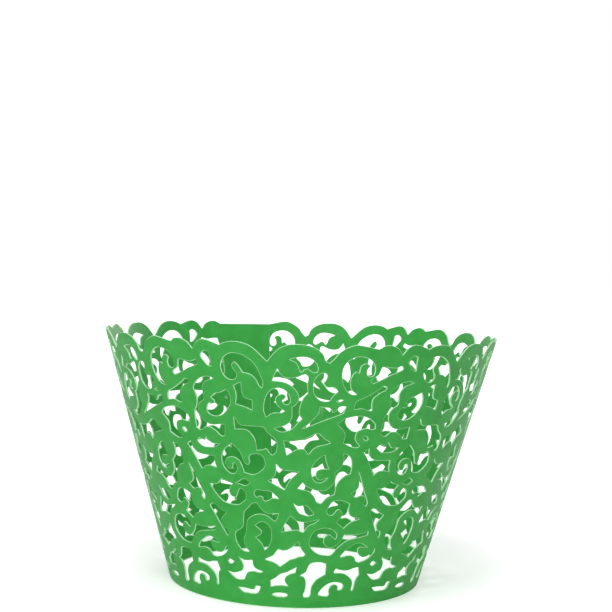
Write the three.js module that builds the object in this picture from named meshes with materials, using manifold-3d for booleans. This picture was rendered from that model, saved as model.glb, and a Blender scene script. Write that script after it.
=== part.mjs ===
// Laser-cut cupcake wrapper: an open cone of thin pearl card, cut through with a vine-scroll lace,
// closed by a plain lapped margin at the back. Millimetres, +Z up, origin at the centre of the base.
import * as THREE from "three";
import { mergeVertices } from "three/addons/utils/BufferGeometryUtils.js";
import Module from "manifold-3d";

// Driving dimensions
const HEIGHT = 50.6;            // base to the highest lobe of the top edge
const BASE_RADIUS = 25.6;       // outside of the card at the base
const TOP_RADIUS = 40;          // outside of the card at HEIGHT
const CARD = 0.35;              // thickness of the card, measured along the radius
const REPEATS = 6;              // copies of the lace drawing round the wrapper
const MARGIN_ANGLE = 18;        // plain strip at each end of the blank; the two strips lap
const LAP_GAP = 0.3;            // clearance between the two lapped strips
const FIRST_REPEAT_AT = -150.6; // angle of the first repeat's left border; 0 faces -Y
const FACETS = 4;               // flat facets of the card in each repeat
const CURVE_ERROR = 0.55;       // how far a cut line of the lace may stray from its curve
const TOP_EDGE_ERROR = 0.25;    // the same along the lobed top edge
const SMALL_HOLE_ERROR = 0.2;   // the same in a small hole, as a share of its height
const SAMPLES = 6;              // curve samples between two drawn points
const CARD_COLOUR = 0x4ca850;

// The drawing of one repeat. Each point is "across,up": degrees from the middle of the front and
// millimetres from the base, at the size of the drawing. A star marks a sharp corner, and the line
// runs smoothly through every other point. The top edge gives the drawing's borders and height.
const TOP_EDGE = `
  -36.6,49.8* -35.2,50.35 -33.5,50.5 -31,49.85 -29.6,48.7* -28,50.1 -26,50.6 -23,50.1
  -21.5,49.7* -20,50.2 -17,50.5 -14,50.1 -12,49.3 -10,48.0 -8.7,47.15*
  -7.5,48.2 -5.5,49.6 -3,50.3 -0.5,50.4 2,50.2 4,49.7 5.8,48.7 6.6,47.5 7.6,47.15*
  8.8,48 10,49.1 12,50.0 14.2,50.5 17,50.25 19,49.95 20.4,49.8*
`;

const LACE = `
  comma -27.3,47.5 -26.7,48.2 -25.8,48.5 -24.8,48.3 -24.6,47.2 -24.3,45.7* -25.4,45.9 -26.5,46.7
  arch_hook -10.2,42.3* -10.0,43.3 -10.9,45.0 -12.2,46.6 -14.2,47.7 -16.5,48.3 -19,48.2 -20.8,47.2
   -21.5,45.7 -21,44.5 -19.8,43.7 -18.5,43.5 -17.4,43.9 -17.2,44.8 -18.0,45.4 -18.4,46.1 -17.8,46.8
   -17.1,46.6 -16.1,45.8 -15.3,44.95 -14.3,44.9 -12.8,44.5 -11.7,43.7 -10.9,42.6
  lobe_scroll 11.2,45.5 11.6,46.7 12.8,47.7 14.5,48.3 16.5,48.3 18.3,47.9 19.6,47.0 20.1,45.9 19.9,45.1
   19.2,44.8 18.4,44.9 17.9,45.4 18.0,46.2 18.5,46.7 17.4,47.2 16.0,46.7 15.8,45.4* 15.0,45.7 14.2,45.3
   13.7,44.6 13.5,43.8 13.7,43.0 14.3,42.2 15.8,41.5* 14.6,41.5 13.2,42.0 12.2,42.8 11.5,43.9
  bone -37.7,44.1 -36.5,44.7 -35.7,45.1 -35.0,46.5* -33.5,46.5 -31,46.3 -29.1,46.7* -28.6,46.1 -30,45.6
   -32,45.1 -34,44.4 -37.0,43.5*
  lobe_crescent -2.9,47.6* -1.5,47.9 0,48.1 1.5,48.1 2.8,47.8 4.0,47.1 4.6,46.2 4.4,45.5 3.6,45.4 2.8,45.7
   1.8,46.1 1.0,45.9 0.4,45.4* -0.1,45.7 -0.6,46.6 -1.3,47.2
  star_channel -7.4,43.7* -6.7,44.8 -6.0,45.9* -5.3,45.0 -4.2,44.4 -2.5,44.25 -0.5,44.5 1.3,45.0 2.1,44.6
   2.0,43.2 2.2,41.6* 1.2,40.9 0.5,39.8 0.0,38.5 0.1,37.6 0.9,36.9* -0.4,36.0 -1.9,35.0 -3.5,34.5
   -5.3,34.4 -7.0,35.0* -4.3,35.4 -2.8,36.0 -1.9,37.1 -1.9,39.0* -0.9,39.4 -0.1,40.4 -0.2,41.2 -1.2,42.3
   -3.0,43.2 -5.0,43.6
  upper_spiral -9.9,38.2 -9.6,39.8 -8.8,41.2 -7.4,42.1 -5.6,42.4 -4.2,42.1 -3.0,41.3 -2.5,40.4 -2.7,39.7
   -3.4,39.4 -4.2,39.6 -4.7,40.1 -4.1,40.4 -3.7,40.9 -4.2,41.3 -5,41.3 -6.0,41.0 -6.6,40.4 -6.4,39.6
   -5.6,38.9 -4.0,38.2* -5,37.9 -6.3,37.9 -7.7,37.7 -9.3,36.95*
  slim_star -18.2,42.4* -17.2,42.8 -16.1,43.1* -16.1,42.0 -15.8,40.8 -15.2,40.3 -13.2,39.9* -13.2,38.1*
   -14.9,38.6 -18.0,39.1* -17.7,40.0 -17.6,41.0 -17.9,41.8
  heart_channel -24.1,43.5* -25.5,43.75 -27.5,43.6 -29,43.1 -30.2,42.4 -31.1,41.5 -30.8,40.8 -30.4,40.0
   -30.4,39.0 -30.9,38 -31.7,37.2 -31.9,36.3 -31.9,34.0* -30.5,33.6 -28.8,34.3 -27.3,34.4 -25.8,34.0
   -24.8,33.6 -23.6,32.9 -22.3,33.0* -22.0,35.1* -24,34.95 -26,34.8 -27.8,35.0 -29.3,35.6 -30.3,36.6
   -30.4,38.1 -29.4,38.9 -28.2,39.4 -28,39.9 -28.3,41.4 -27.8,42.2 -26.8,42.9 -25.5,43.2
  heart -20.5,41.6* -22.8,40.9 -24.2,40.7 -25.6,39.9* -24.6,39.5 -24.7,38.9 -25.4,38.8 -26.3,38.9
   -27.2,38.1 -27.3,37.3 -26.2,36.7 -24.6,36.55 -22.6,36.9 -20.8,37.9 -19.6,39.2 -19.6,40.5
  slanted_bone 15.6,38.7* 15.7,39.7 16.3,40.3 18,40.8 20,41.5 22,42.3 23.4,43.0 24.3,42.8 24.2,42.3
   23.2,42.0 21.6,41.3 20.8,40.8 20.5,40 20.9,38.5* 19.6,38.6 18,38.95
  small_hook 6.5,45.3 7.2,44.9 6.8,44.0 6.3,43.5* 7.3,42.75 9.4,42.8* 10.5,42.0* 9.6,41.5 8.9,41.0
   8.3,40.3 7.5,40.2 6.0,40.3 4.9,40.8 4.0,41.6 3.7,42.8 3.9,44.0 4.7,44.8 5.6,45.2
  tiny_slit 10.3,40.2 11.2,40.5 12.1,40.45 11.4,40.15
  long_triangle 1.0,35.0* 2.8,35.9 4,36.7 5.6,38.0 5.8,39.15* 7.2,39.05 8.6,38.9 9.6,38.1* 10.5,38.4
   11.4,39.2 13.2,39.3* 12.5,38.0* 10.5,37.5 8,36.9 5,36.1
  ring_crescent 11.3,36.0* 13,36.9 15,37.3 17.5,37.5 19.5,37.3 21.3,36.7 22.6,35.9 22.9,35.1* 21.6,35.0
   20.3,35.2 18.6,35.0 17.4,34.6 16.9,33.6 17.2,32.9 18.8,31.8* 17.5,31.6 16,31.8 13.6,32.5* 13.9,34.0
   13.3,34.8
  ring_dot 19.5,33.6 20.2,33.7 21.1,33.2 20.8,32.9 20.0,33.0
  broad_wave -18.9,36.6* -18.4,36.4 -17.8,35.6 -16.8,35.2 -14.5,35.1 -10.8,35.1 -9.9,34.9 -9.2,34.2
   -8,33.5 -6.9,33.0 -6.3,32.4 -6.3,31.2 -6.6,30.5 -7.7,29.9* -8.6,30.4 -9.4,31.1 -10.5,30.9 -12.4,30.7*
   -12.5,31.6 -12.9,32.8 -13.8,33.7 -14.9,34.3 -16.2,34.5 -18.8,34.4*
  winged_bar -4.2,32.7* -2.5,32.6 -0.5,32.75 1.3,33.0 2.8,33.4 4.2,33.9 5.3,34.2 6.2,34.1 7.2,33.5
   9.6,32.5* 8.2,32.2 6.2,31.9 4.9,31.5 3.15,30.3* 2.6,30.8 2.0,31.2 0.8,31.3 -0.6,31.1 -3.3,30.0*
  thin_almond -32.5,31.4* -31.3,32.1* -29.7,31.7 -28.8,32.4* -27.3,31.3 -24.4,31.3* -26.5,30.6 -28.5,30.5
   -30.5,30.55
  curved_slot -36.5,30.6* -35.0,31.3* -34.9,30.4 -34.2,29.7 -33.0,29.2 -31.5,28.95 -29.5,28.9 -26.8,28.85*
   -26.9,27.5 -26.4,26.7* -27.5,26.9 -29,27.0 -30.3,26.9 -32.1,26.2* -33,27.2 -34.2,28.6 -35.4,29.8
  four_point_star -6.6,28.3* -5.4,27.5 -4.0,27.1 -2,27.05 0.6,27.0* -0.4,26.4 -1.5,25.8 -2.5,25.0
   -3.9,23.4* -6.2,24.1 -9.2,25.0* -8.0,25.3 -7.0,26.0 -6.5,27.0
  double_scroll -20.3,31.6* -19,30.9 -18,30.2 -17.3,29.3 -16.8,28.5 -16.2,27.9 -15.6,27.75 -15.0,28.0
   -14.8,28.6 -14.9,29.2 -14.4,29.7 -13.3,29.9 -11.5,29.9 -10.4,29.3 -10.0,28.5 -10.1,27.7 -11,27.0
   -12.3,26.4 -14,26.0 -16.8,26.3* -17.4,27.6 -18.4,28.6 -20.2,29.1 -22.0,28.9 -23.1,28.1 -22.9,27.2
   -22.0,26.8 -21.0,26.8 -20.6,27.2 -20.4,27.8 -19.8,27.9 -19.2,27.3 -19.3,26.6 -20.0,26.0 -21.3,25.9
   -22.7,26.3 -23.8,27.2 -24.2,28.4 -23.7,29.6 -22.5,30.6
  round_hook 8.3,30.2* 6.8,29.7 5.3,28.7 4.5,27.7 4.6,26.5 5.2,25.6 6.4,25.0 8,25.0 9.9,25.9* 8.6,25.7
   7.4,25.4 6.3,25.7 5.8,26.3 6.1,27.1 7.0,27.5 9.9,27.6* 9.2,28.3 8.6,29.2
  left_wave -29.8,23.4* -28.3,23.4 -26.8,23.6 -24.9,24.7* -23.9,24.3 -21.3,23.9* -22.4,23.1 -22.8,22.3
   -22.3,21.6 -21.3,21.3 -20.3,21.4 -19.8,21.9 -19.3,22.7 -18.5,23.1 -17.3,22.7 -16.8,22.0 -16.9,21.2
   -18,20.6 -19.5,20.0 -21.5,19.9 -23.5,20.0 -25.2,20.3 -26.8,21.0 -28.2,22.0
  tailed_triangle 19.6,27.0* 20.5,26.0 21.5,24.6 22.8,22.9 24.4,21.1 24.5,20.5 23.9,20.2 23.1,20.7*
   23.6,21.5 23.1,22.2* 21.8,22.35 20.0,22.0 18.2,22.8* 19.2,23.1 20.1,23.5 20.6,24.2 20.4,25.2
  small_wave -13.9,22.3 -13.7,22.8 -13.0,23.1 -11,23.05 -9,23.0 -8.0,22.8 -7.0,22.3 -5.6,21.6* -7.9,21.7
   -9.0,21.3 -10.0,21.1 -10.8,21.2 -11.0,21.8* -12.2,22.0 -13.2,21.7
  small_almond -20.2,24.1* -19,24.4 -17.8,24.9 -16.8,25.0 -15.2,24.4* -16.8,23.75 -18.2,23.95
  hook_channel 0.3,23.7* 1.9,24.9* 2.8,24.3 4.2,23.9 6.5,23.4 9,23.4 10.5,23.9 11.7,24.7 12.2,25.5
   12.0,26.8* 13,27.4 14,28.1 14.4,29 14.3,29.9 13.9,30.4* 15,30.3 16.2,29.8 16.9,28.9 17.1,27.8
   17.0,26.6* 15.8,26.4 14.5,25.9 13.4,25.2 12.7,24.3 12.4,22.7* 11.2,22.4 10,22.1 9,21.5 8.3,21.0
   7.5,21.0 6.8,21.2 6.0,22.1 5.0,22.8 3.8,23.3
  dome_arch -17.9,18.6* -16.8,19.2 -15.5,20.0 -14.7,20.4 -13.2,20.5 -12.4,19.9 -11.3,19.1 -10,18.7
   -8.2,18.6 -5.8,18.8* -6.3,17.9 -7.0,17.2* -8.3,17.7 -10,18.3 -12,18.5 -14,18.3 -15.8,17.7 -17.0,17.0
   -17.6,15.2 -18.0,14.2 -18.7,13.5 -18.9,12.6 -18.2,11.6 -16.9,10.8* -18.6,10.85 -20,11.2 -21.1,11.9
   -21.9,12.9 -22,13.9 -21.6,14.5 -20.2,15 -19,15.5 -18.5,16.2 -18.3,17.2
  dome_spiral -14.2,16.2* -12,16.9 -10.5,16.8 -9.2,16.3 -8.5,15.5 -8.4,14.5 -8.7,13.3 -9.3,12.4 -11,11.4*
   -11.4,12.0 -12.2,12.8 -14.2,13.8* -12,14.6 -11.9,15.1 -12.4,15.4
  bud -4.9,15.2* -3.6,16.8 -2.6,17.6 -1.9,18.4* -1.2,18.1 0.2,17.5 1.5,17.3 3.2,17.2 5,17.4 8.2,17.8*
   6.5,17.1 5.2,16.8 4.0,16.3 3.3,15.6 2.6,15.3 0.5,15.7 -1,15.6
  thin_leaf -0.9,20.9* -0.4,20.6 0.8,20.3 2.2,20.4 3.5,20.4 4.9,19.7 6.2,18.8* 4.2,18.5 2.6,18.7 1.2,19.0
  boot_star 10.5,19.2 10.9,20.1 12,21.1 13.5,21.5 16,21.3 18.1,20.8* 18.0,19.8 18.3,19.0 19.2,18.3
   22.9,17.7* 19.6,17.2 17.0,16.0* 14.3,17.2* 15.4,17.9 16.1,18.6 15.7,19.2 14.9,19.7 14.0,19.7 13.3,19.2
   12.8,18.8 11.7,18.6
  left_leaf -31.0,19.1* -29.8,19.55 -28.6,19.4 -27,18.7 -24.8,18.1* -25.8,17.5 -26.9,16.8 -27.1,16.0
   -26.2,15.1 -25.0,14.9* -24.7,14.0 -25.1,13.6 -25.9,14.2 -27,15.2 -28.5,16.7 -30,18.2
  wedge_hook 5.2,13.0 5.6,14.3 6.8,15.4 8.8,15.95 11,16.1 13.2,15.7 14.8,14.9 14.9,14.2 14.5,13.95
   13.6,14.3 12.4,14.8 11.2,14.65 10.4,14.1 10.2,13.4 10.8,12.8 12,12.3 13.5,12.2 15,12.6 16.5,13.3
   17.8,14.7* 19.5,14.7 22,14.6 25,14.8 27,15.1* 27.0,14.4* 24.5,14.1 21.5,13.85 19,13.5 17,12.8 15.3,11.9
   14.2,11.1 13.2,10.7 11,10.75 8.8,11.0 7,11.6 5.8,12.3
  curl_wave 17.4,10.3 18.2,11.0 19.3,11.6 21,12.2 23,12.8 25,12.8 28.0,11.9* 26,12.0 24.8,12.1 24,11.8
   24.0,11.2 24.8,10.5 26.3,10.0 28.2,10.0 29.7,10.5 30.7,11.3 31.3,11.4 31.4,11.0 30.4,10.2 28.7,9.5
   26.7,9.1 25.2,9.0 24,9.3 23.2,10.0 22,10.4 20,10.5 18.5,10.3
  tail_bar 15.6,7.1* 16.1,7.9 17.5,7.7 19.5,7.5 21.5,7.5 23.3,7.8 25.6,8.0* 26.5,6.4* 25.6,5.8 25.1,4.9
   25.0,4.0 24.7,3.3 24.1,3.3 24.2,4.4 23.9,5.2 23.0,5.8 21.5,6.4 19.8,6.9
  low_bar -26.8,6.4* -24.6,6.2 -23.2,6.3 -21.6,6.6 -20.4,6.9 -19.9,7.6 -20.0,8.3 -21.5,9.6* -20.4,9.2
   -19,9.0 -16.0,9.2* -15.9,8.3 -15.1,7.6 -11.9,7.0* -13.5,6.8 -15.5,7.0 -17.0,6.9 -18.6,6.5 -19.9,5.2*
   -21.8,5.0 -23.8,5.2
  low_almond -26.3,8.4* -25.3,8.9 -24.3,8.7 -23.6,8.5* -24.5,8.1 -25.4,8.0
  rim_slot -22.9,3.4* -20,3.4 -16,3.3 -15.2,4.0 -13.3,4.0* -13.9,3.2 -14.8,2.6 -16.5,2.45 -19,2.5 -21,2.6
  rim_dash -8.6,2.6 -7,2.95 -5,3.0 -3,2.9 -2.3,2.6 -2.8,2.3 -5,2.2 -7,2.25
  rim_leaf 5.5,8.6 6.4,9.1 8.5,9.3 10.8,9.2 12.1,8.9* 12.2,6.9* 10.6,6.4 9,5.9 7.9,5.2 7.1,4.4 6.9,3.5
   6.8,2.7 6,2.3 4.4,2.3 4.0,2.8 4.5,3.4 4.9,4.6 4.6,5.8 3.8,6.4 2.3,6.6* 4.6,7.4
  rim_spiral 10.1,2.8 10.6,3.4 11.5,4.0 12.8,4.6 14.2,5.0 16,5.2 18,5.1 19.6,4.8 20.2,4.4 19.9,3.8
   19.0,3.6 18.2,3.6 17.9,4.4 17.0,4.7 16,4.75 15,4.5 14.4,4.0 14.3,3.3 14.6,2.8 14.0,2.45 12,2.5
  arrow -9.1,5.4* -8.0,5.7 -6.8,6.1 -5.5,6.7 -4,7.0 -2.4,7.3 0.9,8.3* 0.5,7.2* -1.5,6.9 -3.0,6.4 -3.6,5.7
   -3.1,5.0 -2.0,4.4* -4,4.55 -6.5,4.5 -9.0,4.2*
  long_wave -11.1,9.6* -9.5,10.0 -8.0,10.4 -6.9,11.1 -6.0,11.7 -4.3,11.5 -2.5,11.7 -0.8,12.3 1.2,13.4*
   1.9,12.4 2.9,11.5 3.9,10.9* 3.2,10.5 1.5,10.4 0.4,10.1 -1.5,9.8 -3.1,9.2 -5.3,8.3* -6.6,8.8 -8.3,9.2
   -10,9.4
`;

const REPEAT_ANGLE = (360 - MARGIN_ANGLE) / REPEATS;
const LACE_ANGLE = REPEATS * REPEAT_ANGLE;
const FACET_ANGLE = REPEAT_ANGLE / FACETS;
const FLARE = (TOP_RADIUS - BASE_RADIUS) / HEIGHT;
const MM_PER_DEGREE = THREE.MathUtils.degToRad((BASE_RADIUS + TOP_RADIUS) / 2);
const RIDGE = 2;                // crease height of the folded blank, taken out when it is rolled
const PAST = 1;                 // how far a cutter runs past the card, in millimetres or degrees
const WELD = 1e-5;              // points nearer than this are one point
const CUT_DEPTH = RIDGE + CARD + PAST;
const ABOVE = HEIGHT + 2 * PAST;

// The points of a drawn text block as lists of { x, y, corner }, one list for each name in it
function readPoints(text) {
  const shapes = [];
  let shape = null;
  for (const token of text.trim().split(/\s+/)) {
    if (/^[a-z]/.test(token)) {
      shape = [];
      shapes.push(shape);
      continue;
    }
    if (!shape) {
      shape = [];
      shapes.push(shape);
    }
    const [across, up] = token.replace("*", "").split(",").map(Number);
    shape.push({ x: across, y: up, corner: token.endsWith("*") });
  }
  return shapes;
}

const [DRAWN_TOP] = readPoints(TOP_EDGE);
const DRAWN_LEFT = DRAWN_TOP[0].x;
const ACROSS = REPEAT_ANGLE / (DRAWN_TOP[DRAWN_TOP.length - 1].x - DRAWN_LEFT);
const UP = HEIGHT / Math.max(...DRAWN_TOP.map((p) => p.y));

// The same points on the blank: degrees from the left border of the repeat, and millimetres
function onBlank(points) {
  return points.map((p) => ({ x: (p.x - DRAWN_LEFT) * ACROSS, y: p.y * UP, corner: p.corner }));
}

// Smooth samples through drawn points, without the last one
function smooth(points, closed) {
  if (points.length === 2) {
    return [new THREE.Vector2(points[0].x, points[0].y)];
  }
  const flat = points.map((p) => new THREE.Vector3(p.x * MM_PER_DEGREE, p.y, 0));
  const curve = new THREE.CatmullRomCurve3(flat, closed, "centripetal");
  const count = SAMPLES * (closed ? points.length : points.length - 1);
  const samples = [];
  for (let i = 0; i < count; i += 1) {
    const p = curve.getPoint(i / count);
    samples.push(new THREE.Vector2(p.x / MM_PER_DEGREE, p.y));
  }
  return samples;
}

// Keeps the samples that a line needs to stay within the error of them
function thin(samples, error) {
  const first = samples[0];
  const last = samples[samples.length - 1];
  const span = new THREE.Vector2((last.x - first.x) * MM_PER_DEGREE, last.y - first.y);
  let worst = 0;
  let worstAt = 0;
  for (let i = 1; i < samples.length - 1; i += 1) {
    const to = new THREE.Vector2((samples[i].x - first.x) * MM_PER_DEGREE, samples[i].y - first.y);
    const off = span.length() > 0 ? Math.abs(span.cross(to)) / span.length() : to.length();
    if (off > worst) {
      worst = off;
      worstAt = i;
    }
  }
  if (worst <= error) {
    return [first, last];
  }
  const left = thin(samples.slice(0, worstAt + 1), error);
  const right = thin(samples.slice(worstAt), error);
  return [...left.slice(0, -1), ...right];
}

// The cut line of one drawn hole: smooth between corners, as few points as its shape needs
function holeOutline(points) {
  const heights = points.map((p) => p.y);
  const error = Math.min(CURVE_ERROR, SMALL_HOLE_ERROR * (Math.max(...heights) - Math.min(...heights)));
  const start = Math.max(0, points.findIndex((p) => p.corner));
  const ring = [...points.slice(start), ...points.slice(0, start)];
  if (!ring[0].corner) {
    const samples = smooth(ring, true);
    const half = Math.floor(samples.length / 2);
    const there = thin(samples.slice(0, half + 1), error);
    const back = thin([...samples.slice(half), samples[0]], error);
    return [...there.slice(0, -1), ...back.slice(0, -1)];
  }
  const outline = [];
  let from = 0;
  ring.push(ring[0]);
  for (let i = 1; i < ring.length; i += 1) {
    if (ring[i].corner) {
      const end = new THREE.Vector2(ring[i].x, ring[i].y);
      const samples = [...smooth(ring.slice(from, i + 1), false), end];
      outline.push(...thin(samples, error).slice(0, -1));
      from = i;
    }
  }
  return outline;
}

// The line of the top edge across one repeat, from border to border
function topEdgeLine(points) {
  const line = [];
  let from = 0;
  for (let i = 1; i < points.length; i += 1) {
    if (points[i].corner) {
      const end = new THREE.Vector2(points[i].x, points[i].y);
      const samples = [...smooth(points.slice(from, i + 1), false), end];
      line.push(...thin(samples, TOP_EDGE_ERROR).slice(0, -1));
      from = i;
    }
  }
  const last = points[points.length - 1];
  line.push(new THREE.Vector2(last.x, last.y));
  return line;
}

const wasm = await Module();
wasm.setup();

// A closed geometry as a solid for joining and cutting
function toSolid(geometry) {
  geometry.deleteAttribute("normal");
  geometry.deleteAttribute("uv");
  const merged = mergeVertices(geometry, WELD);
  return new wasm.Manifold(new wasm.Mesh({
    numProp: 3,
    vertProperties: new Float32Array(merged.attributes.position.array),
    triVerts: new Uint32Array(merged.index.array),
  }));
}

// A cutter through the flat blank with the given outline, in degrees and millimetres
function cutter(outline) {
  const shape = new THREE.Shape(outline.map((p) => new THREE.Vector2(p.x * MM_PER_DEGREE, p.y)));
  const geometry = new THREE.ExtrudeGeometry(shape, { depth: 2 * CUT_DEPTH, bevelEnabled: false });
  geometry.translate(0, 0, -CUT_DEPTH);
  return toSolid(geometry);
}

// Borders of the blank's facets, in degrees from the left border of the first repeat
function facetTurns() {
  const marginFacets = Math.ceil(MARGIN_ANGLE / FACET_ANGLE);
  const marginStep = MARGIN_ANGLE / marginFacets;
  const turns = [];
  for (let i = -marginFacets; i < 0; i += 1) {
    turns.push(i * marginStep);
  }
  for (let i = 0; i <= REPEATS * FACETS; i += 1) {
    turns.push(i * FACET_ANGLE);
  }
  for (let i = 1; i <= marginFacets; i += 1) {
    turns.push(LACE_ANGLE + i * marginStep);
  }
  return turns;
}

// Height of the folded blank's outer face: a crease at each facet border
function ridgeAt(turn, turns) {
  const i = Math.min(turns.length - 2, Math.max(0, turns.findIndex((t) => t > turn) - 1));
  const share = turn >= turns[turns.length - 1] ? 1 : (turn - turns[i]) / (turns[i + 1] - turns[i]);
  const from = (i % 2) * RIDGE;
  const to = ((i + 1) % 2) * RIDGE;
  return from + share * (to - from);
}

// The uncut blank, creased at its facet borders, with its outer face up and its base along y = 0
function creasedBlank(turns) {
  const outer = turns.map((turn, i) => new THREE.Vector2(turn * MM_PER_DEGREE, (i % 2) * RIDGE));
  const inner = outer.map((p) => new THREE.Vector2(p.x, p.y - CARD)).reverse();
  const shape = new THREE.Shape([...inner, ...outer]);
  const geometry = new THREE.ExtrudeGeometry(shape, { depth: ABOVE, bevelEnabled: false });
  geometry.rotateX(Math.PI / 2);
  geometry.translate(0, ABOVE, 0);
  return toSolid(geometry);
}

// Everything above the lobed edge, and above the straight top of the two margins
function topCutter() {
  const points = onBlank(DRAWN_TOP);
  const line = topEdgeLine(points).slice(0, -1);
  const border = points[0].y;
  const outline = [new THREE.Vector2(-MARGIN_ANGLE - PAST, border)];
  for (let repeat = 0; repeat < REPEATS; repeat += 1) {
    outline.push(...line.map((p) => new THREE.Vector2(p.x + repeat * REPEAT_ANGLE, p.y)));
  }
  outline.push(new THREE.Vector2(LACE_ANGLE, border));
  outline.push(new THREE.Vector2(LACE_ANGLE + MARGIN_ANGLE + PAST, border));
  outline.push(new THREE.Vector2(LACE_ANGLE + MARGIN_ANGLE + PAST, ABOVE + PAST));
  outline.push(new THREE.Vector2(-MARGIN_ANGLE - PAST, ABOVE + PAST));
  return cutter(outline);
}

// The lace of every repeat, trimmed where it would run into the plain margins
function laceCutter() {
  const outlines = readPoints(LACE).map((points) => holeOutline(onBlank(points)));
  const holes = [];
  for (let repeat = -1; repeat <= REPEATS; repeat += 1) {
    const shift = repeat * REPEAT_ANGLE;
    for (const outline of outlines) {
      holes.push(cutter(outline.map((p) => new THREE.Vector2(p.x + shift, p.y))));
    }
  }
  const corners = [[0, -PAST], [LACE_ANGLE, -PAST], [LACE_ANGLE, ABOVE], [0, ABOVE]];
  const laceArea = cutter(corners.map(([x, y]) => new THREE.Vector2(x, y)));
  return wasm.Manifold.union(holes).intersect(laceArea);
}

// Rolls the cut blank into the cone. The inner margin lies one card and the gap inside the outer
// one, and the card comes out to the cone across the first facet.
function rollUp(solid, turns) {
  const mesh = solid.getMesh();
  const position = new THREE.BufferAttribute(new Float32Array(mesh.vertProperties), 3);
  const lapInset = CARD + LAP_GAP;
  for (let i = 0; i < position.count; i += 1) {
    const turn = position.getX(i) / MM_PER_DEGREE;
    const z = position.getY(i);
    const depth = ridgeAt(turn, turns) - position.getZ(i) > CARD / 2 ? CARD : 0;
    const inset = lapInset * THREE.MathUtils.clamp(1 - turn / FACET_ANGLE, 0, 1);
    const radius = BASE_RADIUS + FLARE * z - inset - depth;
    const angle = THREE.MathUtils.degToRad(FIRST_REPEAT_AT + turn);
    position.setXYZ(i, radius * Math.sin(angle), -radius * Math.cos(angle), z);
  }
  const geometry = new THREE.BufferGeometry();
  geometry.setAttribute("position", position);
  geometry.setIndex(new THREE.BufferAttribute(new Uint32Array(mesh.triVerts), 1));
  geometry.computeVertexNormals();
  return geometry;
}

function makeWrapper() {
  const turns = facetTurns();
  const cut = creasedBlank(turns).subtract(topCutter()).subtract(laceCutter());
  const material = new THREE.MeshStandardMaterial({ color: CARD_COLOUR, roughness: 0.45, metalness: 0 });
  const mesh = new THREE.Mesh(rollUp(cut, turns), material);
  mesh.name = "wrapper_card";
  return mesh;
}

const wrapper = new THREE.Group();
wrapper.add(makeWrapper());

export default wrapper;
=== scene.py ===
"""Cupcake wrapper of thin green pearl card: cut lace with bevelled pale edges, on a white table."""

import math

import bpy
from mathutils import Matrix, Vector
from mathutils.geometry import delaunay_2d_cdt


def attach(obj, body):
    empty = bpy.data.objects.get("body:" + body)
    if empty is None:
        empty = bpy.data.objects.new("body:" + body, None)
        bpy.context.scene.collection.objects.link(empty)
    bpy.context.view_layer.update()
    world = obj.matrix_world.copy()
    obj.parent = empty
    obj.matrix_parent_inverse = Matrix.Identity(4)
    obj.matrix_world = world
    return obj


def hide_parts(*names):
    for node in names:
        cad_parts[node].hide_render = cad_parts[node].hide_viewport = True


MM = 0.001

# The card, in millimetres and degrees, as in the solid
HEIGHT = 50.6
BASE_RADIUS = 25.6
TOP_RADIUS = 40.0
CARD = 0.35
REPEATS = 6
MARGIN_ANGLE = 18.0
LAP_GAP = 0.3
FIRST_REPEAT_AT = -150.6
FACETS = 4               # flat facets of the solid in each repeat

# The finer surface
COLUMN = 2.0             # degrees between the mesh's upright lines
ROWS = (8.0, 16.0, 24.0, 32.0, 40.0, 47.0)  # heights of its lines round the card
SAMPLES = 3              # curve samples between two drawn points
BEVEL = 0.09             # softened arris of the cut edges
WARP = 0.22              # how far the card wavers from a true cone
KEEP_APART = 0.02        # outline points nearer than this are one point
WELD = 1e-5              # the same for the points of the triangulation
TRIANGLES_INSIDE = 1     # the triangulation keeps what lies inside its rings
SHARP_ANGLE = 35.0       # faces that meet at more than this keep a hard edge

# The camera of the photograph, fitted to the wrapper's outline and the lace
CAMERA_AT = Vector((0.0, -257.5, 64.7))
CAMERA_PITCH = -2.00
CAMERA_YAW = 0.17
CAMERA_ROLL = 1.81
FOCAL_PX = 1251.1
IMAGE_PX = 612.0
SENSOR = 36.0

# Colours as linear values
CARD_COLOUR = (0.036, 0.385, 0.054, 1.0)
CARD_SHADE = (0.029, 0.345, 0.045, 1.0)
CARD_LIGHT = (0.046, 0.420, 0.066, 1.0)
# the cut edges are coloured pale: a painted highlight of the light that catches them
CUT_HIGHLIGHT = (0.480, 0.900, 0.500, 1.0)
CUT_SHADE = 0.8          # the darkest fibres of a cut edge, as a share of its colour
FLOOR_COLOUR = (0.93, 0.93, 0.93, 1.0)
FLOOR_GLOW = 0.4         # what the camera sees added to the lit table near the wrapper
FLOOR_NEAR = 0.12        # metres from the middle where that starts to rise
FLOOR_FAR = 0.7          # metres where the table is as white as the backdrop
FLOOR_HALF = 3.0         # half the side of the table, in metres
FLOOR_DROP = 0.0002      # how far the table lies below the card's base, in metres

# The card's surface
CARD_ROUGHNESS = 0.42
FLAKE_GLOSS = (0.34, 0.52)  # the roughness that the pearl flake runs between
MOTTLE_SCALE = 260.0     # noise scales, per metre
FLAKE_SCALE = 2600.0
FIBRE_SCALE = 1400.0

# The lamps, in metres and watts, all aimed at the middle of the wrapper
LAMPS = (
    ("front", (-0.2, -0.75, 0.1), 0.36, 2.3),
    ("overhead", (-0.1, -0.3, 0.8), 0.3, 3.2),
    ("back", (0.45, 0.7, 0.35), 0.5, 1.6),
)
LAMP_TARGET = (0.0, 0.0, 0.02)
SOFT_LIGHT = 0.32        # the even light from all round
BACKDROP = 1.0           # the white that the camera sees

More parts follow.
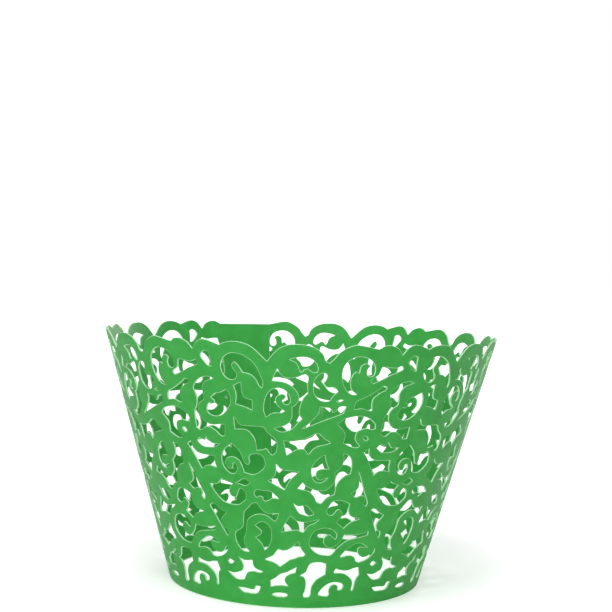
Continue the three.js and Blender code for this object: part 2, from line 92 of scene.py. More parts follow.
# The drawing of one repeat. Each point is "across,up": degrees from the middle of the front and
# millimetres from the base. A star marks a sharp corner, and the line runs smoothly through every
# other point. The top edge gives the drawing's borders and height.
TOP_EDGE = """
-36.6,49.8* -35.2,50.35 -33.5,50.5 -31,49.85 -29.6,48.7* -28,50.1 -26,50.6 -23,50.1
-21.5,49.7* -20,50.2 -17,50.5 -14,50.1 -12,49.3 -10,48.0 -8.7,47.15*
-7.5,48.2 -5.5,49.6 -3,50.3 -0.5,50.4 2,50.2 4,49.7 5.8,48.7 6.6,47.5 7.6,47.15*
8.8,48 10,49.1 12,50.0 14.2,50.5 17,50.25 19,49.95 20.4,49.8*
"""

LACE = """
comma -27.3,47.5 -26.7,48.2 -25.8,48.5 -24.8,48.3 -24.6,47.2 -24.3,45.7* -25.4,45.9 -26.5,46.7
arch_hook -10.2,42.3* -10.0,43.3 -10.9,45.0 -12.2,46.6 -14.2,47.7 -16.5,48.3 -19,48.2 -20.8,47.2
 -21.5,45.7 -21,44.5 -19.8,43.7 -18.5,43.5 -17.4,43.9 -17.2,44.8 -18.0,45.4 -18.4,46.1 -17.8,46.8
 -17.1,46.6 -16.1,45.8 -15.3,44.95 -14.3,44.9 -12.8,44.5 -11.7,43.7 -10.9,42.6
lobe_scroll 11.2,45.5 11.6,46.7 12.8,47.7 14.5,48.3 16.5,48.3 18.3,47.9 19.6,47.0 20.1,45.9 19.9,45.1
 19.2,44.8 18.4,44.9 17.9,45.4 18.0,46.2 18.5,46.7 17.4,47.2 16.0,46.7 15.8,45.4* 15.0,45.7 14.2,45.3
 13.7,44.6 13.5,43.8 13.7,43.0 14.3,42.2 15.8,41.5* 14.6,41.5 13.2,42.0 12.2,42.8 11.5,43.9
bone -37.7,44.1 -36.5,44.7 -35.7,45.1 -35.0,46.5* -33.5,46.5 -31,46.3 -29.1,46.7* -28.6,46.1 -30,45.6
 -32,45.1 -34,44.4 -37.0,43.5*
lobe_crescent -2.9,47.6* -1.5,47.9 0,48.1 1.5,48.1 2.8,47.8 4.0,47.1 4.6,46.2 4.4,45.5 3.6,45.4 2.8,45.7
 1.8,46.1 1.0,45.9 0.4,45.4* -0.1,45.7 -0.6,46.6 -1.3,47.2
star_channel -7.4,43.7* -6.7,44.8 -6.0,45.9* -5.3,45.0 -4.2,44.4 -2.5,44.25 -0.5,44.5 1.3,45.0 2.1,44.6
 2.0,43.2 2.2,41.6* 1.2,40.9 0.5,39.8 0.0,38.5 0.1,37.6 0.9,36.9* -0.4,36.0 -1.9,35.0 -3.5,34.5
 -5.3,34.4 -7.0,35.0* -4.3,35.4 -2.8,36.0 -1.9,37.1 -1.9,39.0* -0.9,39.4 -0.1,40.4 -0.2,41.2 -1.2,42.3
 -3.0,43.2 -5.0,43.6
upper_spiral -9.9,38.2 -9.6,39.8 -8.8,41.2 -7.4,42.1 -5.6,42.4 -4.2,42.1 -3.0,41.3 -2.5,40.4 -2.7,39.7
 -3.4,39.4 -4.2,39.6 -4.7,40.1 -4.1,40.4 -3.7,40.9 -4.2,41.3 -5,41.3 -6.0,41.0 -6.6,40.4 -6.4,39.6
 -5.6,38.9 -4.0,38.2* -5,37.9 -6.3,37.9 -7.7,37.7 -9.3,36.95*
slim_star -18.2,42.4* -17.2,42.8 -16.1,43.1* -16.1,42.0 -15.8,40.8 -15.2,40.3 -13.2,39.9* -13.2,38.1*
 -14.9,38.6 -18.0,39.1* -17.7,40.0 -17.6,41.0 -17.9,41.8
heart_channel -24.1,43.5* -25.5,43.75 -27.5,43.6 -29,43.1 -30.2,42.4 -31.1,41.5 -30.8,40.8 -30.4,40.0
 -30.4,39.0 -30.9,38 -31.7,37.2 -31.9,36.3 -31.9,34.0* -30.5,33.6 -28.8,34.3 -27.3,34.4 -25.8,34.0
 -24.8,33.6 -23.6,32.9 -22.3,33.0* -22.0,35.1* -24,34.95 -26,34.8 -27.8,35.0 -29.3,35.6 -30.3,36.6
 -30.4,38.1 -29.4,38.9 -28.2,39.4 -28,39.9 -28.3,41.4 -27.8,42.2 -26.8,42.9 -25.5,43.2
heart -20.5,41.6* -22.8,40.9 -24.2,40.7 -25.6,39.9* -24.6,39.5 -24.7,38.9 -25.4,38.8 -26.3,38.9
 -27.2,38.1 -27.3,37.3 -26.2,36.7 -24.6,36.55 -22.6,36.9 -20.8,37.9 -19.6,39.2 -19.6,40.5
slanted_bone 15.6,38.7* 15.7,39.7 16.3,40.3 18,40.8 20,41.5 22,42.3 23.4,43.0 24.3,42.8 24.2,42.3
 23.2,42.0 21.6,41.3 20.8,40.8 20.5,40 20.9,38.5* 19.6,38.6 18,38.95
small_hook 6.5,45.3 7.2,44.9 6.8,44.0 6.3,43.5* 7.3,42.75 9.4,42.8* 10.5,42.0* 9.6,41.5 8.9,41.0
 8.3,40.3 7.5,40.2 6.0,40.3 4.9,40.8 4.0,41.6 3.7,42.8 3.9,44.0 4.7,44.8 5.6,45.2
tiny_slit 10.3,40.2 11.2,40.5 12.1,40.45 11.4,40.15
long_triangle 1.0,35.0* 2.8,35.9 4,36.7 5.6,38.0 5.8,39.15* 7.2,39.05 8.6,38.9 9.6,38.1* 10.5,38.4
 11.4,39.2 13.2,39.3* 12.5,38.0* 10.5,37.5 8,36.9 5,36.1
ring_crescent 11.3,36.0* 13,36.9 15,37.3 17.5,37.5 19.5,37.3 21.3,36.7 22.6,35.9 22.9,35.1* 21.6,35.0
 20.3,35.2 18.6,35.0 17.4,34.6 16.9,33.6 17.2,32.9 18.8,31.8* 17.5,31.6 16,31.8 13.6,32.5* 13.9,34.0
 13.3,34.8
ring_dot 19.5,33.6 20.2,33.7 21.1,33.2 20.8,32.9 20.0,33.0
broad_wave -18.9,36.6* -18.4,36.4 -17.8,35.6 -16.8,35.2 -14.5,35.1 -10.8,35.1 -9.9,34.9 -9.2,34.2
 -8,33.5 -6.9,33.0 -6.3,32.4 -6.3,31.2 -6.6,30.5 -7.7,29.9* -8.6,30.4 -9.4,31.1 -10.5,30.9 -12.4,30.7*
 -12.5,31.6 -12.9,32.8 -13.8,33.7 -14.9,34.3 -16.2,34.5 -18.8,34.4*
winged_bar -4.2,32.7* -2.5,32.6 -0.5,32.75 1.3,33.0 2.8,33.4 4.2,33.9 5.3,34.2 6.2,34.1 7.2,33.5
 9.6,32.5* 8.2,32.2 6.2,31.9 4.9,31.5 3.15,30.3* 2.6,30.8 2.0,31.2 0.8,31.3 -0.6,31.1 -3.3,30.0*
thin_almond -32.5,31.4* -31.3,32.1* -29.7,31.7 -28.8,32.4* -27.3,31.3 -24.4,31.3* -26.5,30.6 -28.5,30.5
 -30.5,30.55
curved_slot -36.5,30.6* -35.0,31.3* -34.9,30.4 -34.2,29.7 -33.0,29.2 -31.5,28.95 -29.5,28.9 -26.8,28.85*
 -26.9,27.5 -26.4,26.7* -27.5,26.9 -29,27.0 -30.3,26.9 -32.1,26.2* -33,27.2 -34.2,28.6 -35.4,29.8
four_point_star -6.6,28.3* -5.4,27.5 -4.0,27.1 -2,27.05 0.6,27.0* -0.4,26.4 -1.5,25.8 -2.5,25.0
 -3.9,23.4* -6.2,24.1 -9.2,25.0* -8.0,25.3 -7.0,26.0 -6.5,27.0
double_scroll -20.3,31.6* -19,30.9 -18,30.2 -17.3,29.3 -16.8,28.5 -16.2,27.9 -15.6,27.75 -15.0,28.0
 -14.8,28.6 -14.9,29.2 -14.4,29.7 -13.3,29.9 -11.5,29.9 -10.4,29.3 -10.0,28.5 -10.1,27.7 -11,27.0
 -12.3,26.4 -14,26.0 -16.8,26.3* -17.4,27.6 -18.4,28.6 -20.2,29.1 -22.0,28.9 -23.1,28.1 -22.9,27.2
 -22.0,26.8 -21.0,26.8 -20.6,27.2 -20.4,27.8 -19.8,27.9 -19.2,27.3 -19.3,26.6 -20.0,26.0 -21.3,25.9
 -22.7,26.3 -23.8,27.2 -24.2,28.4 -23.7,29.6 -22.5,30.6
round_hook 8.3,30.2* 6.8,29.7 5.3,28.7 4.5,27.7 4.6,26.5 5.2,25.6 6.4,25.0 8,25.0 9.9,25.9* 8.6,25.7
 7.4,25.4 6.3,25.7 5.8,26.3 6.1,27.1 7.0,27.5 9.9,27.6* 9.2,28.3 8.6,29.2
left_wave -29.8,23.4* -28.3,23.4 -26.8,23.6 -24.9,24.7* -23.9,24.3 -21.3,23.9* -22.4,23.1 -22.8,22.3
 -22.3,21.6 -21.3,21.3 -20.3,21.4 -19.8,21.9 -19.3,22.7 -18.5,23.1 -17.3,22.7 -16.8,22.0 -16.9,21.2
 -18,20.6 -19.5,20.0 -21.5,19.9 -23.5,20.0 -25.2,20.3 -26.8,21.0 -28.2,22.0
tailed_triangle 19.6,27.0* 20.5,26.0 21.5,24.6 22.8,22.9 24.4,21.1 24.5,20.5 23.9,20.2 23.1,20.7*
 23.6,21.5 23.1,22.2* 21.8,22.35 20.0,22.0 18.2,22.8* 19.2,23.1 20.1,23.5 20.6,24.2 20.4,25.2
small_wave -13.9,22.3 -13.7,22.8 -13.0,23.1 -11,23.05 -9,23.0 -8.0,22.8 -7.0,22.3 -5.6,21.6* -7.9,21.7
 -9.0,21.3 -10.0,21.1 -10.8,21.2 -11.0,21.8* -12.2,22.0 -13.2,21.7
small_almond -20.2,24.1* -19,24.4 -17.8,24.9 -16.8,25.0 -15.2,24.4* -16.8,23.75 -18.2,23.95
hook_channel 0.3,23.7* 1.9,24.9* 2.8,24.3 4.2,23.9 6.5,23.4 9,23.4 10.5,23.9 11.7,24.7 12.2,25.5
 12.0,26.8* 13,27.4 14,28.1 14.4,29 14.3,29.9 13.9,30.4* 15,30.3 16.2,29.8 16.9,28.9 17.1,27.8
 17.0,26.6* 15.8,26.4 14.5,25.9 13.4,25.2 12.7,24.3 12.4,22.7* 11.2,22.4 10,22.1 9,21.5 8.3,21.0
 7.5,21.0 6.8,21.2 6.0,22.1 5.0,22.8 3.8,23.3
dome_arch -17.9,18.6* -16.8,19.2 -15.5,20.0 -14.7,20.4 -13.2,20.5 -12.4,19.9 -11.3,19.1 -10,18.7
 -8.2,18.6 -5.8,18.8* -6.3,17.9 -7.0,17.2* -8.3,17.7 -10,18.3 -12,18.5 -14,18.3 -15.8,17.7 -17.0,17.0
 -17.6,15.2 -18.0,14.2 -18.7,13.5 -18.9,12.6 -18.2,11.6 -16.9,10.8* -18.6,10.85 -20,11.2 -21.1,11.9
 -21.9,12.9 -22,13.9 -21.6,14.5 -20.2,15 -19,15.5 -18.5,16.2 -18.3,17.2
dome_spiral -14.2,16.2* -12,16.9 -10.5,16.8 -9.2,16.3 -8.5,15.5 -8.4,14.5 -8.7,13.3 -9.3,12.4 -11,11.4*
 -11.4,12.0 -12.2,12.8 -14.2,13.8* -12,14.6 -11.9,15.1 -12.4,15.4
bud -4.9,15.2* -3.6,16.8 -2.6,17.6 -1.9,18.4* -1.2,18.1 0.2,17.5 1.5,17.3 3.2,17.2 5,17.4 8.2,17.8*
 6.5,17.1 5.2,16.8 4.0,16.3 3.3,15.6 2.6,15.3 0.5,15.7 -1,15.6
thin_leaf -0.9,20.9* -0.4,20.6 0.8,20.3 2.2,20.4 3.5,20.4 4.9,19.7 6.2,18.8* 4.2,18.5 2.6,18.7 1.2,19.0
boot_star 10.5,19.2 10.9,20.1 12,21.1 13.5,21.5 16,21.3 18.1,20.8* 18.0,19.8 18.3,19.0 19.2,18.3
 22.9,17.7* 19.6,17.2 17.0,16.0* 14.3,17.2* 15.4,17.9 16.1,18.6 15.7,19.2 14.9,19.7 14.0,19.7 13.3,19.2
 12.8,18.8 11.7,18.6
left_leaf -31.0,19.1* -29.8,19.55 -28.6,19.4 -27,18.7 -24.8,18.1* -25.8,17.5 -26.9,16.8 -27.1,16.0
 -26.2,15.1 -25.0,14.9* -24.7,14.0 -25.1,13.6 -25.9,14.2 -27,15.2 -28.5,16.7 -30,18.2
wedge_hook 5.2,13.0 5.6,14.3 6.8,15.4 8.8,15.95 11,16.1 13.2,15.7 14.8,14.9 14.9,14.2 14.5,13.95
 13.6,14.3 12.4,14.8 11.2,14.65 10.4,14.1 10.2,13.4 10.8,12.8 12,12.3 13.5,12.2 15,12.6 16.5,13.3
 17.8,14.7* 19.5,14.7 22,14.6 25,14.8 27,15.1* 27.0,14.4* 24.5,14.1 21.5,13.85 19,13.5 17,12.8 15.3,11.9
 14.2,11.1 13.2,10.7 11,10.75 8.8,11.0 7,11.6 5.8,12.3
curl_wave 17.4,10.3 18.2,11.0 19.3,11.6 21,12.2 23,12.8 25,12.8 28.0,11.9* 26,12.0 24.8,12.1 24,11.8
 24.0,11.2 24.8,10.5 26.3,10.0 28.2,10.0 29.7,10.5 30.7,11.3 31.3,11.4 31.4,11.0 30.4,10.2 28.7,9.5
 26.7,9.1 25.2,9.0 24,9.3 23.2,10.0 22,10.4 20,10.5 18.5,10.3
tail_bar 15.6,7.1* 16.1,7.9 17.5,7.7 19.5,7.5 21.5,7.5 23.3,7.8 25.6,8.0* 26.5,6.4* 25.6,5.8 25.1,4.9
 25.0,4.0 24.7,3.3 24.1,3.3 24.2,4.4 23.9,5.2 23.0,5.8 21.5,6.4 19.8,6.9
low_bar -26.8,6.4* -24.6,6.2 -23.2,6.3 -21.6,6.6 -20.4,6.9 -19.9,7.6 -20.0,8.3 -21.5,9.6* -20.4,9.2
 -19,9.0 -16.0,9.2* -15.9,8.3 -15.1,7.6 -11.9,7.0* -13.5,6.8 -15.5,7.0 -17.0,6.9 -18.6,6.5 -19.9,5.2*
 -21.8,5.0 -23.8,5.2
low_almond -26.3,8.4* -25.3,8.9 -24.3,8.7 -23.6,8.5* -24.5,8.1 -25.4,8.0
rim_slot -22.9,3.4* -20,3.4 -16,3.3 -15.2,4.0 -13.3,4.0* -13.9,3.2 -14.8,2.6 -16.5,2.45 -19,2.5 -21,2.6
rim_dash -8.6,2.6 -7,2.95 -5,3.0 -3,2.9 -2.3,2.6 -2.8,2.3 -5,2.2 -7,2.25
rim_leaf 5.5,8.6 6.4,9.1 8.5,9.3 10.8,9.2 12.1,8.9* 12.2,6.9* 10.6,6.4 9,5.9 7.9,5.2 7.1,4.4 6.9,3.5
 6.8,2.7 6,2.3 4.4,2.3 4.0,2.8 4.5,3.4 4.9,4.6 4.6,5.8 3.8,6.4 2.3,6.6* 4.6,7.4
rim_spiral 10.1,2.8 10.6,3.4 11.5,4.0 12.8,4.6 14.2,5.0 16,5.2 18,5.1 19.6,4.8 20.2,4.4 19.9,3.8
 19.0,3.6 18.2,3.6 17.9,4.4 17.0,4.7 16,4.75 15,4.5 14.4,4.0 14.3,3.3 14.6,2.8 14.0,2.45 12,2.5
arrow -9.1,5.4* -8.0,5.7 -6.8,6.1 -5.5,6.7 -4,7.0 -2.4,7.3 0.9,8.3* 0.5,7.2* -1.5,6.9 -3.0,6.4 -3.6,5.7
 -3.1,5.0 -2.0,4.4* -4,4.55 -6.5,4.5 -9.0,4.2*
long_wave -11.1,9.6* -9.5,10.0 -8.0,10.4 -6.9,11.1 -6.0,11.7 -4.3,11.5 -2.5,11.7 -0.8,12.3 1.2,13.4*
 1.9,12.4 2.9,11.5 3.9,10.9* 3.2,10.5 1.5,10.4 0.4,10.1 -1.5,9.8 -3.1,9.2 -5.3,8.3* -6.6,8.8 -8.3,9.2
 -10,9.4
"""

REPEAT_ANGLE = (360.0 - MARGIN_ANGLE) / REPEATS
LACE_ANGLE = REPEATS * REPEAT_ANGLE
FACET_ANGLE = REPEAT_ANGLE / FACETS
FLARE = (TOP_RADIUS - BASE_RADIUS) / HEIGHT
MM_PER_DEGREE = math.radians((BASE_RADIUS + TOP_RADIUS) / 2)


def read_drawing(text):
    """The shapes of a drawing, as lists of (across, up, corner)."""
    shapes = []
    shape = None
    for token in text.split():
        if token[0].isalpha():
            shape = []
            shapes.append(shape)
            continue
        if shape is None:
            shape = []
            shapes.append(shape)
        across, up = token.rstrip("*").split(",")
        shape.append((float(across), float(up), token.endswith("*")))
    return shapes


DRAWN_TOP = read_drawing(TOP_EDGE)[0]
DRAWN_LEFT = DRAWN_TOP[0][0]
ACROSS = REPEAT_ANGLE / (DRAWN_TOP[-1][0] - DRAWN_LEFT)
UP = HEIGHT / max(point[1] for point in DRAWN_TOP)


def on_blank(points):
    """The same points in degrees from the repeat's left border, and millimetres."""
    return [((across - DRAWN_LEFT) * ACROSS, up * UP, corner) for across, up, corner in points]


def smooth(points, closed):
    """Centripetal Catmull-Rom samples through the points, without the last one."""
    flat = [Vector((p[0] * MM_PER_DEGREE, p[1])) for p in points]
    if closed:
        run = [flat[-1]] + flat + flat[:2]
    else:
        run = [2 * flat[0] - flat[1]] + flat + [2 * flat[-1] - flat[-2]]
    samples = []
    for i in range(1, len(run) - 2):
        a, b, c, d = run[i - 1:i + 3]
        t1 = (b - a).length ** 0.5
        t2 = t1 + (c - b).length ** 0.5
        t3 = t2 + (d - c).length ** 0.5
        for step in range(SAMPLES):
            t = t1 + (t2 - t1) * step / SAMPLES
            ab = a * ((t1 - t) / t1) + b * (t / t1)
            bc = b * ((t2 - t) / (t2 - t1)) + c * ((t - t1) / (t2 - t1))
            cd = c * ((t3 - t) / (t3 - t2)) + d * ((t - t2) / (t3 - t2))
            abc = ab * ((t2 - t) / t2) + bc * (t / t2)
            bcd = bc * ((t3 - t) / (t3 - t1)) + cd * ((t - t1) / (t3 - t1))
            p = abc * ((t2 - t) / (t2 - t1)) + bcd * ((t - t1) / (t2 - t1))
            samples.append((p.x / MM_PER_DEGREE, p.y))
    return samples


def line_through(points):
    """Samples of an open line that is smooth between its corners, with both ends."""
    corners = [i for i, p in enumerate(points) if p[2]]
    line = []
    for start, end in zip(corners, corners[1:]):
        line += smooth(points[start:end + 1], False)
    return line + [points[-1][:2]]


def hole_outline(points):
    """Samples round one hole, smooth between its corners."""
    corners = [i for i, p in enumerate(points) if p[2]]
    if not corners:
        return smooth(points, True)
    ring = points[corners[0]:] + points[:corners[0]]
    return line_through(ring + [ring[0]])[:-1]


def lace_outlines():
    """Every hole's outline, in degrees from the first repeat's left border."""
    outlines = [hole_outline(on_blank(points)) for points in read_drawing(LACE)]
    placed = []
    for repeat in range(-1, REPEATS + 1):
        for outline in outlines:
            moved = [(x + repeat * REPEAT_ANGLE, y) for x, y in outline]
            if max(p[0] for p in moved) > 0 and min(p[0] for p in moved) < LACE_ANGLE:
                placed.append(moved)
    return placed


def blank_outline():
    """The edge of the blank: its base, its two ends and the lobed top."""
    points = on_blank(DRAWN_TOP)
    lobes = line_through(points)[:-1]
    border = points[0][1]
    base = []
    columns = round((LACE_ANGLE + 2 * MARGIN_ANGLE) / COLUMN)
    for i in range(columns + 1):
        base.append((-MARGIN_ANGLE + i * (LACE_ANGLE + 2 * MARGIN_ANGLE) / columns, 0.0))
    top = [(-MARGIN_ANGLE, border)]
    for repeat in range(REPEATS):
        top += [(x + repeat * REPEAT_ANGLE, y) for x, y in lobes]
    top += [(LACE_ANGLE, border), (LACE_ANGLE + MARGIN_ANGLE, border)]
    return base + top[::-1]


def tidy_ring(outline):
    """The outline anticlockwise, without points that all but touch the one before."""
    twice_area = 0.0
    for (x0, y0), (x1, y1) in zip(outline, outline[1:] + outline[:1]):
        twice_area += x0 * y1 - x1 * y0
    if twice_area < 0:
        outline = outline[::-1]
    kept = []
    for x, y in outline:
        if not kept or math.hypot((x - kept[-1][0]) * MM_PER_DEGREE, y - kept[-1][1]) > KEEP_APART:
            kept.append((x, y))
    return kept


def flat_card():
    """Points and triangles of the cut blank laid flat, in degrees and millimetres.

    The blank is ring 0 and the holes are the rings after it. A triangle's origin lists the rings
    that it lies in. A hole cuts only the lace, so it ends where the plain margins begin.
    """
    points = []
    edges = []
    faces = []
    for outline in [blank_outline()] + lace_outlines():
        first = len(points)
        kept = tidy_ring(outline)
        points += [Vector((x * MM_PER_DEGREE, y)) for x, y in kept]
        faces.append(list(range(first, len(points))))
    turn = -MARGIN_ANGLE + COLUMN
    while turn < LACE_ANGLE + MARGIN_ANGLE - 0.1:
        edges.append((len(points), len(points) + 1))
        points.append(Vector((turn * MM_PER_DEGREE, 0.0)))
        points.append(Vector((turn * MM_PER_DEGREE, HEIGHT + 1)))
        turn += COLUMN
    for row in ROWS:
        edges.append((len(points), len(points) + 1))
        points.append(Vector((-MARGIN_ANGLE * MM_PER_DEGREE, row)))
        points.append(Vector(((LACE_ANGLE + MARGIN_ANGLE) * MM_PER_DEGREE, row)))
    made = delaunay_2d_cdt(points, edges, faces, TRIANGLES_INSIDE, WELD)
    spots, _, triangles, _, _, origins = made
    flat = [(v.x / MM_PER_DEGREE, v.y) for v in spots]
    kept = []
    for corners, origin in zip(triangles, origins):
        middle = sum(flat[i][0] for i in corners) / len(corners)
        in_hole = any(i > 0 for i in origin)
        if 0 in origin and not (in_hole and 0 < middle < LACE_ANGLE):
            kept.append(tuple(corners))
    return flat, kept


def wander(turn, z):
    """How far the card stands off the true cone, in millimetres: waves that grow to the top."""
    a = math.radians(turn)
    slow = math.sin(3 * a + 0.7) * 0.5 + math.sin(7 * a + z / 13.0) * 0.3
    fine = math.sin(17 * a + 2.1 + z / 7.0) * 0.2
    return WARP * (slow + fine) * (z / HEIGHT)


def place(x, z, depth):
    """A point of the rolled card, in metres. Depth is measured inwards from the outer face."""
    inset = (CARD + LAP_GAP) * min(1.0, max(0.0, 1.0 - x / FACET_ANGLE))
    turn = FIRST_REPEAT_AT + x
    radius = BASE_RADIUS + FLARE * z - inset - depth + wander(turn, z)
    a = math.radians(turn)
    return Vector((radius * math.sin(a), -radius * math.cos(a), z)) * MM


def edge_shifts(flat, triangles):
    """The cut edges of the flat card, and for each point on one the way into the card."""
    count = {}
    for triangle in triangles:
        for i in range(3):
            a, b = triangle[i], triangle[(i + 1) % 3]
            key = (min(a, b), max(a, b))
            count.setdefault(key, []).append((a, b))
    cut = [sides[0] for sides in count.values() if len(sides) == 1]
    shift = {}
    for a, b in cut:
        across = (flat[b][0] - flat[a][0]) * MM_PER_DEGREE
        along = Vector((across, flat[b][1] - flat[a][1]))
        if along.length > 0:
            inward = Vector((-along.y, along.x)).normalized()
            for i in (a, b):
                shift[i] = shift.get(i, Vector((0.0, 0.0))) + inward
    for i in shift:
        if shift[i].length > 0:
            shift[i].normalize()
    return cut, shift


# The points of a cut edge from the outer face to the inner one, by their place in its ring
EDGE_LEVELS = (0, 2, 3, 1)


def wrapper_mesh():
    """The rolled card with its lace. Slot 0 is the card's face and slot 1 its cut edge."""
    flat, triangles = flat_card()
    cut, shift = edge_shifts(flat, triangles)
    vertices = []
    rings = {}
    for i in sorted({corner for triangle in triangles for corner in triangle}):
        x, z = flat[i]
        dx, dz = (0.0, 0.0)
        if i in shift:
            dx = shift[i].x * BEVEL / MM_PER_DEGREE
            dz = shift[i].y * BEVEL
        ring = [len(vertices), len(vertices) + 1]
        vertices.append(place(x + dx, z + dz, 0.0))
        vertices.append(place(x + dx, z + dz, CARD))
        if i in shift:
            ring = [ring[0], ring[1], len(vertices), len(vertices) + 1]
            vertices.append(place(x, z, BEVEL))
            vertices.append(place(x, z, CARD - BEVEL))
        rings[i] = ring
    faces = []
    slots = []
    for a, b, c in triangles:
        faces.append((rings[a][0], rings[b][0], rings[c][0]))
        faces.append((rings[a][1], rings[c][1], rings[b][1]))
        slots += [0, 0]
    for a, b in cut:
        for upper, lower in zip(EDGE_LEVELS, EDGE_LEVELS[1:]):
            faces.append((rings[a][upper], rings[a][lower], rings[b][lower], rings[b][upper]))
            slots.append(1)
    mesh = bpy.data.meshes.new("lace_card")
    mesh.from_pydata(vertices, [], faces)
    mesh.polygons.foreach_set("material_index", slots)
    mesh.validate()
    mesh.shade_smooth()
    mesh.set_sharp_from_angle(angle=math.radians(SHARP_ANGLE))
    return mesh


def add_node(tree, kind, **inputs):
    """A shader node with the given values. An underscore in a name stands for a space."""
    node = tree.nodes.new(kind)
    for name, value in inputs.items():
        node.inputs[name.replace("_", " ")].default_value = value
    return node


def card_material():
    """Pearl card: faint mottling, a fine flake in the gloss and a paper tooth."""
    material = bpy.data.materials.new("pearl_card")
    material.use_nodes = True
    tree = material.node_tree
    shader = tree.nodes["Principled BSDF"]
    shader.inputs["Roughness"].default_value = CARD_ROUGHNESS
    shader.inputs["Specular IOR Level"].default_value = 0.35
    shader.inputs["Sheen Weight"].default_value = 0.06
    shader.inputs["Sheen Roughness"].default_value = 0.4
    place_node = add_node(tree, "ShaderNodeTexCoord")
    mottle = add_node(tree, "ShaderNodeTexNoise", Scale=MOTTLE_SCALE, Detail=4.0, Roughness=0.6)
    tree.links.new(place_node.outputs["Object"], mottle.inputs["Vector"])
    ramp = add_node(tree, "ShaderNodeValToRGB")
    ramp.color_ramp.elements[0].position = 0.3
    ramp.color_ramp.elements[0].color = CARD_SHADE
    ramp.color_ramp.elements[1].position = 0.7
    ramp.color_ramp.elements[1].color = CARD_LIGHT
    middle = ramp.color_ramp.elements.new(0.5)
    middle.color = CARD_COLOUR
    tree.links.new(mottle.outputs["Fac"], ramp.inputs["Fac"])
    tree.links.new(ramp.outputs["Color"], shader.inputs["Base Color"])
    flake = add_node(tree, "ShaderNodeTexNoise", Scale=FLAKE_SCALE, Detail=2.0)
    tree.links.new(place_node.outputs["Object"], flake.inputs["Vector"])
    gloss = add_node(tree, "ShaderNodeMapRange")
    gloss.inputs["To Min"].default_value = FLAKE_GLOSS[0]
    gloss.inputs["To Max"].default_value = FLAKE_GLOSS[1]
    tree.links.new(flake.outputs["Fac"], gloss.inputs["Value"])
    tree.links.new(gloss.outputs["Result"], shader.inputs["Roughness"])
    tooth = add_node(tree, "ShaderNodeBump", Strength=0.18, Distance=0.00004)
    tree.links.new(flake.outputs["Fac"], tooth.inputs["Height"])
    tree.links.new(tooth.outputs["Normal"], shader.inputs["Normal"])
    return material


def cut_edge_material():
    """The cut edge, coloured pale as a painted highlight along the cut, a little uneven."""
    material = bpy.data.materials.new("cut_edge")
    material.use_nodes = True
    tree = material.node_tree
    shader = tree.nodes["Principled BSDF"]
    shader.inputs["Roughness"].default_value = 0.6
    place_node = add_node(tree, "ShaderNodeTexCoord")
    fibre = add_node(tree, "ShaderNodeTexNoise", Scale=FIBRE_SCALE, Detail=3.0)
    tree.links.new(place_node.outputs["Object"], fibre.inputs["Vector"])
    ramp = add_node(tree, "ShaderNodeValToRGB")
    ramp.color_ramp.elements[0].position = 0.3
    ramp.color_ramp.elements[0].color = [CUT_SHADE * value for value in CUT_HIGHLIGHT[:3]] + [1.0]
    ramp.color_ramp.elements[1].position = 0.7
    ramp.color_ramp.elements[1].color = CUT_HIGHLIGHT
    tree.links.new(fibre.outputs["Fac"], ramp.inputs["Fac"])
    tree.links.new(ramp.outputs["Color"], shader.inputs["Base Color"])
    return material


def add_wrapper():
    """The finished card in place of the plain solid."""
    wrapper = bpy.data.objects.new("lace_wrapper", wrapper_mesh())
    wrapper.data.materials.append(card_material())
    wrapper.data.materials.append(cut_edge_material())
    bpy.context.scene.collection.objects.link(wrapper)
    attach(wrapper, "root")
    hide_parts("wrapper_card")


def add_floor():
    """A white table that keeps the shadow, and shows as pure white where nothing shades it."""
    mesh = bpy.data.meshes.new("table_top")
    signs = ((-1, -1), (1, -1), (1, 1), (-1, 1))
    corners = [(x * FLOOR_HALF, y * FLOOR_HALF, -FLOOR_DROP) for x, y in signs]
    mesh.from_pydata(corners, [], [(0, 1, 2, 3)])
    floor = bpy.data.objects.new("table_top", mesh)
    material = bpy.data.materials.new("white_table")
    material.use_nodes = True
    tree = material.node_tree
    shader = tree.nodes["Principled BSDF"]
    shader.inputs["Base Color"].default_value = FLOOR_COLOUR
    shader.inputs["Roughness"].default_value = 0.8
    shader.inputs["Emission Color"].default_value = (1.0, 1.0, 1.0, 1.0)
    rays = tree.nodes.new("ShaderNodeLightPath")
    spot = tree.nodes.new("ShaderNodeTexCoord")
    away = tree.nodes.new("ShaderNodeVectorMath")
    away.operation = "LENGTH"
    tree.links.new(spot.outputs["Object"], away.inputs[0])
    fade = tree.nodes.new("ShaderNodeMapRange")
    fade.inputs["From Min"].default_value = FLOOR_NEAR
    fade.inputs["From Max"].default_value = FLOOR_FAR
    fade.inputs["To Min"].default_value = FLOOR_GLOW
    fade.inputs["To Max"].default_value = 1.0
    tree.links.new(away.outputs["Value"], fade.inputs["Value"])
    glow = tree.nodes.new("ShaderNodeMath")
    glow.operation = "MULTIPLY"
    tree.links.new(rays.outputs["Is Camera Ray"], glow.inputs[0])
    tree.links.new(fade.outputs["Result"], glow.inputs[1])
    tree.links.new(glow.outputs["Value"], shader.inputs["Emission Strength"])
    mesh.materials.append(material)
    bpy.context.scene.collection.objects.link(floor)


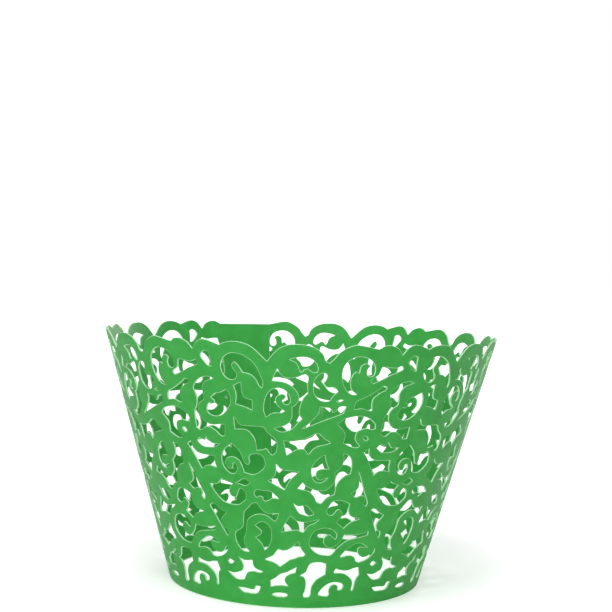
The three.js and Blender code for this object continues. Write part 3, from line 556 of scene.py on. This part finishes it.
def add_world():
    """A white backdrop for the camera and for reflections, and an even soft light for the rest."""
    world = bpy.data.worlds.new("white_studio")
    bpy.context.scene.world = world
    world.use_nodes = True
    tree = world.node_tree
    tree.nodes.clear()
    rays = tree.nodes.new("ShaderNodeLightPath")
    seen = rays.outputs["Is Camera Ray"]
    for kind in ("Is Glossy Ray", "Is Transmission Ray"):
        either = tree.nodes.new("ShaderNodeMath")
        either.operation = "MAXIMUM"
        tree.links.new(seen, either.inputs[0])
        tree.links.new(rays.outputs[kind], either.inputs[1])
        seen = either.outputs["Value"]
    light = add_node(tree, "ShaderNodeBackground", Color=(1.0, 1.0, 1.0, 1.0), Strength=SOFT_LIGHT)
    backdrop = add_node(tree, "ShaderNodeBackground", Color=(1.0, 1.0, 1.0, 1.0), Strength=BACKDROP)
    mix = tree.nodes.new("ShaderNodeMixShader")
    output = tree.nodes.new("ShaderNodeOutputWorld")
    tree.links.new(seen, mix.inputs["Fac"])
    tree.links.new(light.outputs["Background"], mix.inputs[1])
    tree.links.new(backdrop.outputs["Background"], mix.inputs[2])
    tree.links.new(mix.outputs["Shader"], output.inputs["Surface"])


def add_lamp(name, place_at, size, watts):
    """A round soft lamp aimed at the wrapper."""
    lamp = bpy.data.lights.new(name, "AREA")
    lamp.shape = "DISK"
    lamp.size = size
    lamp.energy = watts
    holder = bpy.data.objects.new(name, lamp)
    holder.location = place_at
    holder.rotation_euler = (Vector(LAMP_TARGET) - Vector(place_at)).to_track_quat("-Z", "Y").to_euler()
    bpy.context.scene.collection.objects.link(holder)


def add_camera():
    """The photograph's camera, from its place and its pitch, yaw and roll."""
    pitch = math.radians(CAMERA_PITCH)
    yaw = math.radians(CAMERA_YAW)
    roll = math.radians(CAMERA_ROLL)
    forward = Vector((
        math.sin(yaw) * math.cos(pitch),
        math.cos(yaw) * math.cos(pitch),
        math.sin(pitch),
    ))
    level = forward.cross(Vector((0.0, 0.0, 1.0))).normalized()
    upright = level.cross(forward)
    right = level * math.cos(roll) + upright * math.sin(roll)
    up = upright * math.cos(roll) - level * math.sin(roll)
    camera = bpy.data.cameras.new("photo_camera")
    camera.sensor_width = SENSOR
    camera.lens = FOCAL_PX / IMAGE_PX * SENSOR
    camera.clip_start = 0.01
    camera.clip_end = 20.0
    holder = bpy.data.objects.new("photo_camera", camera)
    turn = Matrix((right, up, -forward)).transposed().to_4x4()
    holder.matrix_world = Matrix.Translation(CAMERA_AT * MM) @ turn
    bpy.context.scene.collection.objects.link(holder)
    bpy.context.scene.camera = holder


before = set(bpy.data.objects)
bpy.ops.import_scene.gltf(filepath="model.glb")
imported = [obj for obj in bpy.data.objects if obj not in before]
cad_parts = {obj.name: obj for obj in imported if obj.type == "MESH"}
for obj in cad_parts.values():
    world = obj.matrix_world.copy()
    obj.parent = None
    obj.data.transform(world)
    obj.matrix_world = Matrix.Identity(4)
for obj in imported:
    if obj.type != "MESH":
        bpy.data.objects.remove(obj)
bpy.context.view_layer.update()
bpy.context.scene.view_settings.view_transform = "Standard"
add_wrapper()
add_floor()
add_world()
for lamp in LAMPS:
    add_lamp(*lamp)
add_camera()
